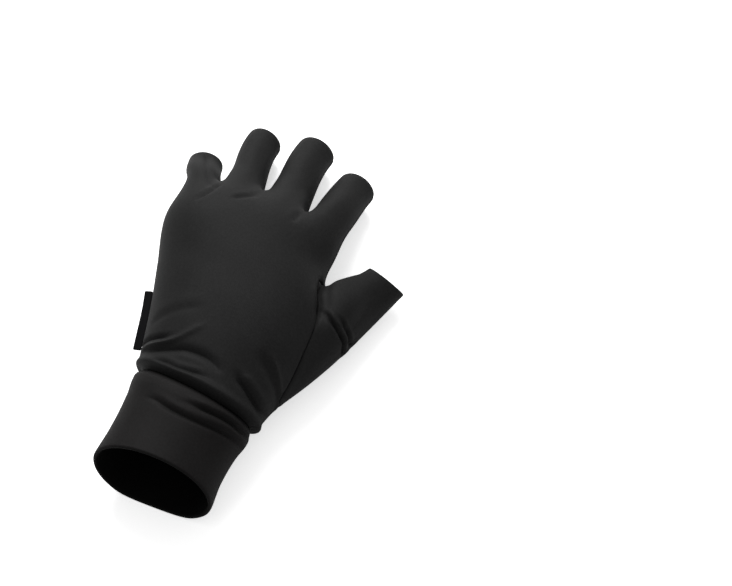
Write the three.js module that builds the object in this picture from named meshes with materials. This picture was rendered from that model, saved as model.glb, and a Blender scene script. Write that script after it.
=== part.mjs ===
// Half-finger fishing glove for a left hand, lying palm down and still holding the form of the hand.
// Millimetres: +Z is up from the floor, +Y points to the fingertips and +X to the thumb.
// The origin is on the floor under the middle of the palm.
//
// The whole skin is one net of four-cornered faces. A tube of rows and columns runs from the cuff's opening
// to the finger roots, where its end splits into four finger rings. A block of its faces on the thumb's side
// is left out, and the thumb's tube starts from the edge of that hole. Folds then push the net in and out,
// the floor flattens it, and it is cut along the seams into panels, each given the thickness of its cloth.
import * as THREE from "three";

const { lerp, clamp, smoothstep, degToRad } = THREE.MathUtils;

// Driving sizes
const PALM_WIDTH = 100; // across the four finger roots
const HAND_DEPTH = 50; // floor to the back of the hand
const HAND_LENGTH = 133; // wrist seam to the web beside the middle finger
const HEEL_LENGTH = 58; // wrist seam to the origin under the palm
const CUFF_LENGTH = 49; // wrist seam to the opening, on the little finger's side
const CLOTH = 1.2; // jersey of the hand and thumb
const CUFF_CLOTH = 2; // the cuff's jersey, folded double
const SEAM_GAP = 0.3; // left between panels that are sewn edge to edge
const STALL_LENGTH = 48; // middle finger, web to cut end
const STALL_WIDTH = 22;
const STALL_DEPTH = 19;
const THUMB_WIDTH = 23; // at the thumb's cut end
const THUMB_DEPTH = 15;
const THUMB_REACH = 61; // centre line of the hand to the middle of the thumb's cut end
const FOLD_DEPTH = 3; // of the deepest fold, at the wrist
const LABEL_LENGTH = 36;
const LABEL_WIDTH = 4.4; // how far the label stands out of its seam
const LABEL_CLOTH = 1; // woven tape, folded double

// Shares of the driving sizes
const WRIST_SLANT = 0.095; // between the wrist seam's nearest and farthest places, of HAND_LENGTH
const WRIST_HIGH = 0.86; // the turn where the wrist seam is farthest from the opening
const WEB_DIP = 0.26; // how far the back drops to the web between two fingers, of HAND_DEPTH
const WEB_REACH = 0.07; // how far to each side it drops, of PALM_WIDTH
const WEB_BOW = 0.03; // how far the web is bowed to the fingertips, of HAND_DEPTH
const LIP_SLANT = 0.08; // how much farther out the opening's lower lip is than its upper one, of CUFF_LENGTH
const ROOT_DEPTH = 0.52; // of a finger where it leaves the hand, of HAND_DEPTH
const CROTCH_PULL = 0.8; // how much straighter the thumb's skin runs in the crotch than on the outer side
const RIM_ROLL = 0.45; // how far the rim of a cut edge is rolled out, of the cloth's thickness
const LABEL_START = -0.31; // the label's end nearest the wrist, of HAND_LENGTH from the origin
const LABEL_WAVE = 0.08; // how far the label's fold rises and dips, of LABEL_WIDTH
const HAND_GIRTH = 1.8; // round the tube, of PALM_WIDTH, for the widths of the folds
const THUMB_GIRTH = 0.8; // round the thumb

// Faces of the net
const BACK_FACES = 4; // over the back of each finger, and under its front
const SIDE_FACES = 4; // down each side of a finger
const FINGER_FACES = 5; // along a finger
const THUMB_FACES = 12; // along the thumb
const CUFF_FACES = 17; // along the cuff
const HEEL_FACES = 8; // along the hand, from the wrist seam to the thumb's hole
const HOLE_FACES = 13; // along the thumb's hole
const ROOT_FACES = 7; // from the thumb's hole to the finger roots
const FINGERS = 4;
const HALF_ROUND = FINGERS * BACK_FACES + SIDE_FACES; // from the little finger's side to the thumb's side
const ROUND = 2 * HALF_ROUND;
const HOLE_HALF = 4; // faces from the thumb's side to either edge of its hole

// Sections of the tube. At is -1 at the cuff's opening, 0 at the wrist seam and 1 at the finger roots. Little
// and thumb are the sides, as shares of PALM_WIDTH from the centre line. Back, palm and side are heights as
// shares of HAND_DEPTH, side being where the tube is widest. Arch and sole say how square the upper and lower
// halves are: 2 is an ellipse.
const SECTIONS = [
  { at: -1.0, little: -0.288, thumb: 0.356, back: 0.92, palm: -0.06, side: 0.42, arch: 2.05, sole: 2.1 },
  { at: -0.7, little: -0.282, thumb: 0.338, back: 0.9, palm: -0.09, side: 0.42, arch: 2.1, sole: 2.2 },
  { at: -0.35, little: -0.29, thumb: 0.345, back: 0.89, palm: -0.1, side: 0.42, arch: 2.1, sole: 2.2 },
  { at: 0.0, little: -0.312, thumb: 0.375, back: 0.9, palm: -0.1, side: 0.42, arch: 2.1, sole: 2.2 },
  { at: 0.12, little: -0.352, thumb: 0.41, back: 0.94, palm: -0.1, side: 0.42, arch: 2.1, sole: 2.2 },
  { at: 0.3, little: -0.42, thumb: 0.465, back: 0.99, palm: -0.1, side: 0.41, arch: 2.15, sole: 2.3 },
  { at: 0.5, little: -0.51, thumb: 0.465, back: 1.0, palm: -0.1, side: 0.4, arch: 2.2, sole: 2.3 },
  { at: 0.7, little: -0.6, thumb: 0.33, back: 0.98, palm: -0.04, side: 0.41, arch: 2.3, sole: 2.3 },
  { at: 0.86, little: -0.606, thumb: 0.322, back: 0.9, palm: 0.05, side: 0.42, arch: 2.3, sole: 2.2 },
  { at: 1.0, little: -0.628, thumb: 0.322, back: 0.78, palm: 0.13, side: 0.43, arch: 2.3, sole: 2.2 },
];

// The line where the tube ends in the four fingers, over the back from the little finger's side to the
// thumb's side. Turn is the way round, 0 on the little finger's side and 0.5 on the thumb's. At is along the
// hand, a share of HAND_LENGTH. Column is the net's column there.
const ROOT_LINE = [
  { column: 0, turn: 0, at: 0.93 },
  { column: SIDE_FACES / 2, turn: 0.06, at: 0.94 },
  { column: SIDE_FACES / 2 + BACK_FACES, turn: 0.167, at: 0.885 },
  { column: SIDE_FACES / 2 + 2 * BACK_FACES, turn: 0.245, at: 0.94 },
  { column: SIDE_FACES / 2 + 3 * BACK_FACES, turn: 0.326, at: 0.872 },
  { column: HALF_ROUND - SIDE_FACES / 2, turn: 0.44, at: 0.93 },
  { column: HALF_ROUND, turn: 0.5, at: 0.92 },
];

// Edges of the thumb's hole, as turns on the back and on the palm. Along is 0 at the wrist's end and 1 in the
// crotch between thumb and forefinger.
const HOLE_EDGES = [
  { along: 0.0, back: 0.52, palm: 0.61 },
  { along: 0.15, back: 0.486, palm: 0.65 },
  { along: 0.35, back: 0.452, palm: 0.69 },
  { along: 0.6, back: 0.438, palm: 0.69 },
  { along: 0.8, back: 0.436, palm: 0.64 },
  { along: 1.0, back: 0.455, palm: 0.56 },
];
const HOLE_START = 0.15; // along the hand on the thumb's side, between the wrist seam and the finger roots
const HOLE_END = 0.715;

// Fingers, from the little finger to the forefinger. Across, reach and lift place the middle of the cut end:
// across is a share of PALM_WIDTH, reach a share of STALL_LENGTH past the longest web, and lift a share of
// HAND_DEPTH. Width and depth are shares of STALL_WIDTH and STALL_DEPTH. Root and tip are the headings at the
// finger's two ends, in degrees towards the thumb, and dip is how steeply it comes down.
const FINGERS_TABLE = [
  { across: -0.615, reach: 0.29, lift: 0.19, width: 0.87, depth: 0.93, root: -24, tip: -12, dip: 12 },
  { across: -0.382, reach: 0.84, lift: 0.19, width: 0.9, depth: 0.98, root: -7, tip: 3, dip: 14 },
  { across: -0.09, reach: 0.93, lift: 0.2, width: 1.0, depth: 1.03, root: -4, tip: 6, dip: 14 },
  { across: 0.212, reach: 0.63, lift: 0.2, width: 0.98, depth: 1.03, root: -1, tip: 7, dip: 14 },
];

// The thumb's cut end: along is a share of HAND_LENGTH from the origin, lift a share of HAND_DEPTH, heading
// and climb in degrees, and roll tips its outer edge down.
const THUMB = { along: 0.389, lift: 0.28, heading: 18, climb: 20, roll: 32 };

// Folds. Each runs through its places, which are pairs of turn and up: the turn round the tube, and how far
// the place is from the wrist towards the fingers, of CUFF_LENGTH. Depth is of FOLD_DEPTH. Width is of
// FOLD_WIDTH. Ridge is the bulge beside it towards the fingers, of its depth.
const FOLD_WIDTH = 4.6;
const FOLDS = [
  {
    depth: 0.3, width: 0.9, ridge: 0.5,
    places: [[0.12, 0.09], [0.148, 0.07], [0.179, 0.05], [0.209, 0.03], [0.24, 0.024], [0.28, 0.02]],
  },
  {
    depth: 0.6, width: 1, ridge: 0.8,
    places: [[0.03, 0.25], [0.071, 0.221], [0.124, 0.207], [0.185, 0.232], [0.256, 0.238], [0.31, 0.13]],
  },
  {
    depth: 0.4, width: 1, ridge: 0.5,
    places: [[0.03, 0.37], [0.059, 0.344], [0.118, 0.349], [0.153, 0.363], [0.19, 0.47]],
  },
  {
    depth: 0.3, width: 1, ridge: 0.5,
    places: [[0.07, 0.52], [0.098, 0.557], [0.14, 0.641], [0.189, 0.72], [0.22, 0.76]],
  },
  {
    depth: 0.4, width: 1, ridge: 0.5,
    places: [[0.15, -0.37], [0.193, -0.387], [0.244, -0.44], [0.361, -0.422], [0.5, -0.32], [0.56, -0.26]],
  },
  {
    depth: 0.4, width: 1, ridge: 0.5,
    places: [[0.25, -0.31], [0.326, -0.299], [0.393, -0.264], [0.439, -0.248], [0.525, -0.146], [0.56, -0.1]],
  },
  {
    depth: 0.4, width: 1, ridge: 0.5,
    places: [[0.33, 0.27], [0.346, 0.182], [0.377, 0.133], [0.41, 0.097], [0.462, 0.086], [0.535, 0.181]],
  },
  {
    depth: 0.4, width: 1.1, ridge: 0.7,
    places: [[0.35, 0.63], [0.366, 0.502], [0.404, 0.426], [0.464, 0.369], [0.513, 0.317], [0.54, 0.25]],
  },
];

// Folds of the thumb. Turn is the way round it, 0 in the crotch, 0.25 on the back and 0.5 on the outer side.
// Up is how far from the seam, of THUMB_WIDTH.
const THUMB_FOLDS = [
  {
    depth: 0.4, width: 1, ridge: 0.6,
    places: [[0.14, 0], [0.174, 0.136], [0.212, 0.439], [0.248, 0.802], [0.33, 1.453], [0.46, 2.1]],
  },
  {
    depth: 0.35, width: 1, ridge: 0.6,
    places: [[0.17, 0.3], [0.192, 0.472], [0.252, 1.045], [0.303, 1.445], [0.34, 1.738], [0.44, 2.4]],
  },
];

// A smooth curve through the named column of a table, at a place along its key column.
function along(table, key, column, place) {
  let i = 0;
  while (i < table.length - 2 && place > table[i + 1][key]) i += 1;
  const slope = (k) => {
    const before = table[Math.max(k - 1, 0)];
    const after = table[Math.min(k + 1, table.length - 1)];
    return (after[column] - before[column]) / (after[key] - before[key]);
  };
  const a = table[i];
  const b = table[i + 1];
  const span = b[key] - a[key];
  const t = clamp((place - a[key]) / span, 0, 1);
  const bend = (t - 1) * t * span;
  return lerp(a[column], b[column], t * t * (3 - 2 * t)) + bend * ((t - 1) * slope(i) + t * slope(i + 1));
}

// A bell curve: 1 at no distance, falling off over the width.
function hump(away, width) {
  return Math.exp(-((away / width) ** 2));
}

function sameSignPower(value, power) {
  return Math.sign(value) * Math.abs(value) ** power;
}

// Place along the tube, in millimetres, of an at value.
function lengthwise(at) {
  return -HEEL_LENGTH + at * (at < 0 ? CUFF_LENGTH : HAND_LENGTH);
}

function atOf(y) {
  const from = y + HEEL_LENGTH;
  return from / (from < 0 ? CUFF_LENGTH : HAND_LENGTH);
}

// How far the back drops between two finger roots.
function backRelief(x, at) {
  let relief = 0;
  for (const root of ROOT_LINE.slice(2, 5)) {
    const away = x - tubeAcross(root.turn, 1);
    relief -= WEB_DIP * HAND_DEPTH * hump(away, WEB_REACH * PALM_WIDTH) * smoothstep(at, 0.74, 1) ** 2;
  }
  return relief;
}

function section(at) {
  const part = (column) => along(SECTIONS, "at", column, at);
  return {
    little: part("little") * PALM_WIDTH,
    thumb: part("thumb") * PALM_WIDTH,
    back: part("back") * HAND_DEPTH,
    palm: part("palm") * HAND_DEPTH,
    side: part("side") * HAND_DEPTH,
    arch: part("arch"),
    sole: part("sole"),
  };
}

function tubeAcross(turn, at) {
  const s = section(at);
  const angle = Math.PI - 2 * Math.PI * turn;
  const square = Math.sin(angle) > 0 ? s.arch : s.sole;
  return (s.little + s.thumb) / 2 + ((s.thumb - s.little) / 2) * sameSignPower(Math.cos(angle), 2 / square);
}

// A point of the tube: turn is the way round it, y is along it.
function tubePoint(turn, y) {
  const at = atOf(y);
  const s = section(at);
  const angle = Math.PI - 2 * Math.PI * turn;
  const rise = Math.sin(angle);
  const x = tubeAcross(turn, at);
  const reach = rise > 0 ? s.back - s.side : s.side - s.palm;
  const square = rise > 0 ? s.arch : s.sole;
  const relief = backRelief(x, at) * (rise > 0 ? rise : 0.5 * rise);
  return new THREE.Vector3(x, y, s.side + reach * sameSignPower(rise, 2 / square) + relief);
}

function tubeAxis(y) {
  const s = section(atOf(y));
  return new THREE.Vector3((s.little + s.thumb) / 2, y, s.side);
}

// Where the wrist seam, the opening's lip and the finger roots cross a turn.
function wristLine(turn) {
  const round = 2 * Math.PI * (turn - WRIST_HIGH);
  return -HEEL_LENGTH + (WRIST_SLANT * HAND_LENGTH * Math.cos(round)) / 2;
}

function lipLine(turn) {
  const lower = (1 - Math.sin(2 * Math.PI * turn)) / 2;
  return lengthwise(-1) - LIP_SLANT * CUFF_LENGTH * lower;
}

function rootLine(turn) {
  const folded = turn > 0.5 ? 1 - turn : turn;
  return lengthwise(along(ROOT_LINE, "turn", "at", folded));
}

// The net
const points = [];
const places = []; // of each point: its turn, and how far it is from the wrist or along the thumb
const faces = [];

function addPoint(point, place) {
  points.push(point);
  places.push(place);
  return points.length - 1;
}

function onHand(turn, y) {
  return { turn, up: y + HEEL_LENGTH, seam: y - wristLine(turn), onThumb: false };
}

function addStrip(panelOf, lower, upper) {
  for (let i = 0; i < lower.length - 1; i += 1) {
    faces.push({ panel: panelOf(i), corners: [lower[i], lower[i + 1], upper[i + 1], upper[i]] });
  }
}

// The tube's columns: even round the wrist, and gathered to the finger roots at the far end.
function evenTurn(column, share) {
  const folded = Math.min(column, ROUND - column);
  const atRoots = along(ROOT_LINE, "column", "turn", folded);
  const turn = lerp(folded / ROUND, atRoots, share);
  return column > HALF_ROUND ? 1 - turn : turn;
}

// Moves the two columns at the hole's edges onto those edges, and the ones between to suit.
function tubeTurn(column, share) {
  const turn = evenTurn(column, share);
  const backEdge = evenTurn(HALF_ROUND - HOLE_HALF, share);
  const palmEdge = evenTurn(HALF_ROUND + HOLE_HALF, share);
  const place = clamp((share - HOLE_START) / (HOLE_END - HOLE_START), 0, 1);
  const near = smoothstep(share, 0, HOLE_START) * (1 - smoothstep(share, HOLE_END, 1));
  const back = lerp(backEdge, along(HOLE_EDGES, "along", "back", place), near);
  const palm = lerp(palmEdge, along(HOLE_EDGES, "along", "palm", place), near);
  if (turn <= backEdge) return (turn / backEdge) * back;
  if (turn >= palmEdge) return 1 - ((1 - turn) / (1 - palmEdge)) * (1 - palm);
  return lerp(back, palm, (turn - backEdge) / (palmEdge - backEdge));
}

const tube = [];
function addRow(share, cuff) {
  const row = [];
  for (let column = 0; column < ROUND; column += 1) {
    const turn = cuff ? column / ROUND : tubeTurn(column, share);
    const wrist = wristLine(turn);
    const y = cuff ? lerp(lipLine(turn), wrist, share) : lerp(wrist, rootLine(turn), share);
    row.push(addPoint(tubePoint(turn, y), onHand(turn, y)));
  }
  row.push(row[0]);
  tube.push(row);
}

for (let i = 0; i < CUFF_FACES; i += 1) addRow(i / CUFF_FACES, true);
for (let i = 0; i < HEEL_FACES; i += 1) addRow((HOLE_START * i) / HEEL_FACES, false);
for (let i = 0; i < HOLE_FACES; i += 1) addRow(lerp(HOLE_START, HOLE_END, (i / HOLE_FACES) ** 1.15), false);
for (let i = 0; i <= ROOT_FACES; i += 1) addRow(lerp(HOLE_END, 1, i / ROOT_FACES), false);

const wristRow = CUFF_FACES;
const holeRow = wristRow + HEEL_FACES;
const crotchRow = holeRow + HOLE_FACES;
const rootRow = crotchRow + ROOT_FACES;
for (let row = 0; row < rootRow; row += 1) {
  const panelOf = (column) => {
    if (row < wristRow) return "cuff";
    const inHole = Math.abs(column + 0.5 - HALF_ROUND) < HOLE_HALF && row >= holeRow && row < crotchRow;
    if (inHole) return null;
    return column < HALF_ROUND ? "back_panel" : "palm_panel";
  };
  addStrip(panelOf, tube[row], tube[row + 1]);
}

// The webs between neighbouring fingers: short lines from the back down to the palm, bowed to the fingertips.
const webs = [];
for (let web = 1; web < FINGERS; web += 1) {
  const column = SIDE_FACES / 2 + web * BACK_FACES;
  const top = tube[rootRow][column];
  const bottom = tube[rootRow][ROUND - column];
  const line = [top];
  for (let i = 1; i < SIDE_FACES; i += 1) {
    const share = i / SIDE_FACES;
    const point = points[top].clone().lerp(points[bottom], share);
    point.y += WEB_BOW * HAND_DEPTH * 4 * share * (1 - share);
    line.push(addPoint(point, onHand(places[top].turn, point.y)));
  }
  line.push(bottom);
  webs.push(line);
}

// A finger's first ring, from the middle of its little-finger side over the back.
function fingerRoot(finger) {
  const last = tube[rootRow];
  const first = SIDE_FACES / 2 + finger * BACK_FACES;
  const backArc = last.slice(first, first + BACK_FACES + 1);
  const palmArc = last.slice(ROUND - first - BACK_FACES, ROUND - first + 1);
  const half = SIDE_FACES / 2;
  const littleEdge = [...last.slice(ROUND - half, ROUND), ...last.slice(0, half + 1)].reverse();
  const thumbEdge = last.slice(HALF_ROUND - half, HALF_ROUND + half + 1);
  const littleSide = webs[finger - 1] ?? littleEdge;
  const thumbSide = webs[finger] ?? thumbEdge;
  return [
    ...littleSide.slice(0, half + 1).reverse(),
    ...backArc.slice(1),
    ...thumbSide.slice(1),
    ...palmArc.slice(1),
    ...littleSide.slice(half, SIDE_FACES).reverse(),
  ];
}

function directed(heading, climb) {
  const h = degToRad(heading);
  const c = degToRad(climb);
  return new THREE.Vector3(Math.sin(h) * Math.cos(c), Math.cos(h) * Math.cos(c), Math.sin(c));
}

function hermite(from, leaving, to, arriving, t) {
  const point = from.clone().multiplyScalar((1 + 2 * t) * (1 - t) ** 2);
  point.addScaledVector(leaving, t * (1 - t) ** 2);
  point.addScaledVector(to, t * t * (3 - 2 * t));
  point.addScaledVector(arriving, t * t * (t - 1));
  return point;
}

function middleOf(indices) {
  const sum = new THREE.Vector3();
  for (const i of indices) sum.add(points[i]);
  return sum.divideScalar(indices.length);
}

// How early a finger's skin takes on its oval, by the angle round it: soon between two fingers, and only at
// the cut end on the outer sides of the hand.
function settling(number, angle) {
  const sides = { 0: -Math.cos(angle), [FINGERS - 1]: Math.cos(angle) };
  const outer = sides[number] ?? -0.5 - 0.35 * Math.cos(angle);
  return lerp(0.27, 1, clamp(0.5 + outer, 0, 1));
}

FINGERS_TABLE.forEach((finger, number) => {
  const ring = fingerRoot(number);
  const rim = ring.slice(0, -1);
  const root = middleOf(rim);
  const end = new THREE.Vector3(
    finger.across * PALM_WIDTH,
    lengthwise(1) + finger.reach * STALL_LENGTH,
    finger.lift * HAND_DEPTH,
  );
  const length = root.distanceTo(end);
  const leaving = directed(finger.root, -finger.dip).multiplyScalar(length);
  const arriving = directed(finger.tip, -finger.dip).multiplyScalar(length);
  const rootWidth = points[rim[SIDE_FACES / 2]].distanceTo(points[rim[SIDE_FACES / 2 + BACK_FACES]]);
  let lower = ring;
  for (let i = 1; i <= FINGER_FACES; i += 1) {
    const share = (i / FINGER_FACES) ** 1.25;
    const centre = hermite(root, leaving, end, arriving, share);
    const ahead = directed(lerp(finger.root, finger.tip, share), -finger.dip);
    const across = new THREE.Vector3(ahead.y, -ahead.x, 0).normalize();
    const over = across.clone().cross(ahead);
    const halfDepth = lerp(ROOT_DEPTH * HAND_DEPTH, finger.depth * STALL_DEPTH, share) / 2;
    const upper = rim.map((index, j) => {
      const angle = Math.PI - (2 * Math.PI * j) / rim.length;
      const settled = settling(number, angle);
      const halfWidth = lerp(rootWidth, finger.width * STALL_WIDTH, smoothstep(share, -0.2, settled)) / 2;
      const round = smoothstep(share, -0.1, settled);
      const oval = centre
        .clone()
        .addScaledVector(across, halfWidth * Math.cos(angle))
        .addScaledVector(over, halfDepth * Math.sin(angle));
      const carried = points[index].clone().add(centre).sub(root);
      return addPoint(carried.lerp(oval, round), onHand(places[index].turn, oval.y));
    });
    upper.push(upper[0]);
    addStrip((j) => (j < rim.length / 2 ? "back_panel" : "palm_panel"), lower, upper);
    lower = upper;
  }
});

// The thumb: its first ring is the edge of the hole, from the middle of the crotch down the back edge.
const holeRing = [];
for (let c = HALF_ROUND; c > HALF_ROUND - HOLE_HALF; c -= 1) holeRing.push([crotchRow, c]);
for (let r = crotchRow; r > holeRow; r -= 1) holeRing.push([r, HALF_ROUND - HOLE_HALF]);
for (let c = HALF_ROUND - HOLE_HALF; c < HALF_ROUND + HOLE_HALF; c += 1) holeRing.push([holeRow, c]);
for (let r = holeRow; r < crotchRow; r += 1) holeRing.push([r, HALF_ROUND + HOLE_HALF]);
for (let c = HALF_ROUND + HOLE_HALF; c > HALF_ROUND; c -= 1) holeRing.push([crotchRow, c]);

const thumbAhead = directed(THUMB.heading, THUMB.climb);
const thumbRoll = degToRad(THUMB.roll);
const thumbLevel = new THREE.Vector3(thumbAhead.y, -thumbAhead.x, 0).normalize();
const thumbOver = thumbLevel.clone().cross(thumbAhead);
const thumbAcross = thumbLevel.clone().multiplyScalar(Math.cos(thumbRoll));
thumbAcross.addScaledVector(thumbOver, -Math.sin(thumbRoll));
const thumbUp = thumbAcross.clone().cross(thumbAhead);
const thumbEnd = new THREE.Vector3(THUMB_REACH, THUMB.along * HAND_LENGTH, THUMB.lift * HAND_DEPTH);
const holeMiddle = middleOf(holeRing.map(([r, c]) => tube[r][c]));

// A strand of the thumb's skin for each point of the ring. It leaves the hand inwards along the skin, ahead
// and outwards, and in the crotch more or less straight at its end.
const thumbStrands = holeRing.map(([r, c], j) => {
  const index = tube[r][c];
  const start = points[index];
  const angle = Math.PI - (2 * Math.PI * j) / holeRing.length;
  const end = thumbEnd
    .clone()
    .addScaledVector(thumbAcross, (THUMB_WIDTH / 2) * Math.cos(angle))
    .addScaledVector(thumbUp, (THUMB_DEPTH / 2) * Math.sin(angle));
  const { turn } = places[index];
  const inner = tubePoint(lerp(turn, 0.52, 0.2), lerp(start.y, holeMiddle.y, 0.2)).sub(start).normalize();
  inner.addScaledVector(thumbAhead, -Math.min(inner.dot(thumbAhead), 0));
  const outward = start.clone().sub(tubeAxis(start.y)).setY(0).normalize();
  const gap = start.distanceTo(end);
  inner.multiplyScalar(Math.min(gap / (2.5 * THUMB_WIDTH), 1));
  const straight = end.clone().sub(start).normalize();
  const crotch = Math.max(-Math.cos(angle), 0) ** 4;
  const leaving = inner.addScaledVector(thumbAhead, 0.7).addScaledVector(outward, 0.45).normalize();
  leaving.lerp(straight, CROTCH_PULL * crotch).normalize();
  const arriving = straight.clone().addScaledVector(thumbAhead, 0.35 * (1 - crotch)).normalize();
  leaving.multiplyScalar(1.2 * gap);
  arriving.multiplyScalar(gap);
  return { index, start, leaving, end, arriving, gap, round: j / holeRing.length };
});
let lowerThumb = thumbStrands.map((strand) => strand.index);
lowerThumb.push(lowerThumb[0]);
for (let i = 1; i <= THUMB_FACES; i += 1) {
  const share = i / THUMB_FACES;
  const upper = thumbStrands.map((s) => {
    const point = hermite(s.start, s.leaving, s.end, s.arriving, share);
    return addPoint(point, { turn: s.round, up: share * s.gap, onThumb: true });
  });
  upper.push(upper[0]);
  addStrip(() => "thumb_panel", lowerThumb, upper);
  lowerThumb = upper;
}

// Normals of the net, each weighted by the size of the faces round its point.
function normalsOf() {
  const normals = points.map(() => new THREE.Vector3());
  for (const { panel, corners } of faces) {
    if (!panel) continue;
    const [a, b, c, d] = corners.map((i) => points[i]);
    const normal = c.clone().sub(a).cross(d.clone().sub(b));
    for (const i of corners) normals[i].add(normal);
  }
  return normals.map((normal) => normal.normalize());
}

// Evens out the skin where the fingers and the thumb join the hand: each round moves a point part of the way
// to the middle of its neighbours, most of all close to the joins.
const SOFT_ROUNDS = 3;
const SOFT_REACH = 0.11 * PALM_WIDTH;
const joins = [...tube[rootRow], ...webs.flat(), ...holeRing.map(([r, c]) => tube[r][c])];
const share = points.map((point) => {
  const near = Math.min(...joins.map((join) => point.distanceTo(points[join])));
  return 0.6 * Math.exp(-((near / SOFT_REACH) ** 2));
});
const neighbours = points.map(() => new Set());
for (const { panel, corners } of faces) {
  if (!panel) continue;
  corners.forEach((corner, k) => neighbours[corner].add(corners[(k + 1) % 4]).add(corners[(k + 3) % 4]));
}
for (let round = 0; round < SOFT_ROUNDS; round += 1) {
  const middles = neighbours.map((near) => middleOf([...near]));
  points.forEach((point, i) => {
    if (neighbours[i].size) point.lerp(middles[i], share[i]);
  });
}

// Signed distance in millimetres from a fold's path, and how near it is to the path's ends. Round is the
// girth that one turn stands for, and long the length of one up.
function fromFold(fold, place, round, long) {
  const path = fold.places.map(([turn, up]) => new THREE.Vector2(turn * round, up * long));
  let best = { away: Infinity, faded: 0 };
  for (let i = 0; i < path.length - 1; i += 1) {
    const start = path[i];
    const run = path[i + 1].clone().sub(start);
    const to = new THREE.Vector2(place.turn * round, place.up).sub(start);
    const t = clamp(to.dot(run) / run.lengthSq(), 0, 1);
    const side = Math.sign(run.x * to.y - run.y * to.x) || 1;
    const away = to.addScaledVector(run, -t).length();
    if (away < Math.abs(best.away)) {
      const share = (i + t) / (path.length - 1);
      best = { away: away * side, faded: smoothstep(share, 0, 0.35) * (1 - smoothstep(share, 0.65, 1)) };
    }
  }
  return best;
}

function foldsAt(folds, place, round, long) {
  let push = 0;
  for (const fold of folds) {
    const { away, faded } = fromFold(fold, place, round, long);
    const width = fold.width * FOLD_WIDTH;
    const shape = fold.ridge * hump(away - 1.5 * width, width) - hump(away, 0.8 * width);
    push += fold.depth * FOLD_DEPTH * faded * shape;
  }
  return push;
}

// The wrist seam draws the skin in, and it swells on both sides of the seam.
function wristPinch(seam) {
  const handSide = 0.5 * hump(seam - 1.4 * FOLD_WIDTH, FOLD_WIDTH);
  const cuffSide = 0.2 * hump(seam + 1.8 * FOLD_WIDTH, FOLD_WIDTH);
  return FOLD_DEPTH * (handSide + cuffSide - 0.8 * hump(seam, 0.8 * FOLD_WIDTH));
}

const skinNormals = normalsOf();
points.forEach((point, i) => {
  const place = places[i];
  const push = place.onThumb
    ? foldsAt(THUMB_FOLDS, place, THUMB_GIRTH * PALM_WIDTH, THUMB_WIDTH)
    : wristPinch(place.seam) + foldsAt(FOLDS, place, HAND_GIRTH * PALM_WIDTH, CUFF_LENGTH);
  point.addScaledVector(skinNormals[i], push);
});

// The floor: what would lie below it is pressed flat, and the skin comes up from it in a small round.
const FLOOR_ROUND = 3;
for (const point of points) {
  if (point.z < -FLOOR_ROUND) point.z = 0;
  else if (point.z < FLOOR_ROUND) point.z = (point.z + FLOOR_ROUND) ** 2 / (4 * FLOOR_ROUND);
}

const normals = normalsOf();

// A panel of the net as a closed wall: its faces, the same faces a cloth's thickness inside, and a rim
// between the two all round. Sewn edges are drawn back by half a seam's gap. Free edges are rolled round.
const CORNERS = 4;
const skinEdges = new Set();
for (const { panel, corners } of faces) {
  if (panel) corners.forEach((from, k) => skinEdges.add(`${from}_${corners[(k + 1) % CORNERS]}`));
}

function panelEdges(own) {
  const edges = new Map();
  for (const { corners } of own) {
    corners.forEach((from, k) => {
      const to = corners[(k + 1) % CORNERS];
      const back = `${to}_${from}`;
      if (!edges.delete(back)) edges.set(`${from}_${to}`, { from, to, free: !skinEdges.has(back) });
    });
  }
  return [...edges.values()];
}

function panelGeometry(name, cloth) {
  const own = faces.filter((face) => face.panel === name);
  const edges = panelEdges(own);
  const drawn = new Map();
  const rolled = new Map();
  for (const { from, to, free } of edges) {
    const run = points[to].clone().sub(points[from]).normalize();
    for (const i of [from, to]) {
      const inward = normals[i].clone().cross(run);
      const sums = free ? rolled : drawn;
      sums.set(i, inward.add(sums.get(i) ?? new THREE.Vector3()));
    }
  }
  const positions = [];
  const slots = new Map();
  const place = (point) => positions.push(...point) / 3 - 1;
  const slotOf = (i) => {
    if (slots.has(i)) return slots.get(i);
    const outer = points[i].clone();
    if (drawn.has(i)) outer.addScaledVector(drawn.get(i).clone().normalize(), SEAM_GAP / 2);
    const inner = outer.clone().addScaledVector(normals[i], -cloth);
    const slot = { outer: place(outer), inner: place(inner) };
    if (rolled.has(i)) {
      const inward = rolled.get(i).clone().normalize();
      slot.rim = place(outer.clone().lerp(inner, 0.5).addScaledVector(inward, -RIM_ROLL * cloth));
    }
    slots.set(i, slot);
    return slot;
  };
  const triangles = [];
  const addFace = (a, b, c, d, short) => {
    if (short) triangles.push(a, b, c, a, c, d);
    else triangles.push(a, b, d, b, c, d);
  };
  for (const { corners } of own) {
    const [a, b, c, d] = corners.map(slotOf);
    const [p, q, r, t] = corners.map((i) => points[i]);
    const short = p.distanceTo(r) <= q.distanceTo(t);
    addFace(a.outer, b.outer, c.outer, d.outer, short);
    addFace(a.inner, d.inner, c.inner, b.inner, short);
  }
  for (const { from, to, free } of edges) {
    const a = slotOf(from);
    const b = slotOf(to);
    if (free) {
      addFace(b.outer, a.outer, a.rim, b.rim, true);
      addFace(b.rim, a.rim, a.inner, b.inner, true);
    } else {
      const round = [a.rim, a.inner, b.inner, b.rim, b.outer, a.outer].filter((slot) => slot !== undefined);
      if (b.rim !== undefined) round.unshift(...round.splice(2));
      for (let k = 2; k < round.length; k += 1) triangles.push(round[0], round[k - 1], round[k]);
    }
  }
  const geometry = new THREE.BufferGeometry();
  geometry.setAttribute("position", new THREE.Float32BufferAttribute(positions, 3));
  geometry.setIndex(triangles);
  geometry.computeVertexNormals();
  return geometry;
}

const jersey = new THREE.MeshStandardMaterial({ color: 0x262527, roughness: 0.85, metalness: 0 });

const tape = new THREE.MeshStandardMaterial({ color: 0x161617, roughness: 0.8, metalness: 0 });

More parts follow.
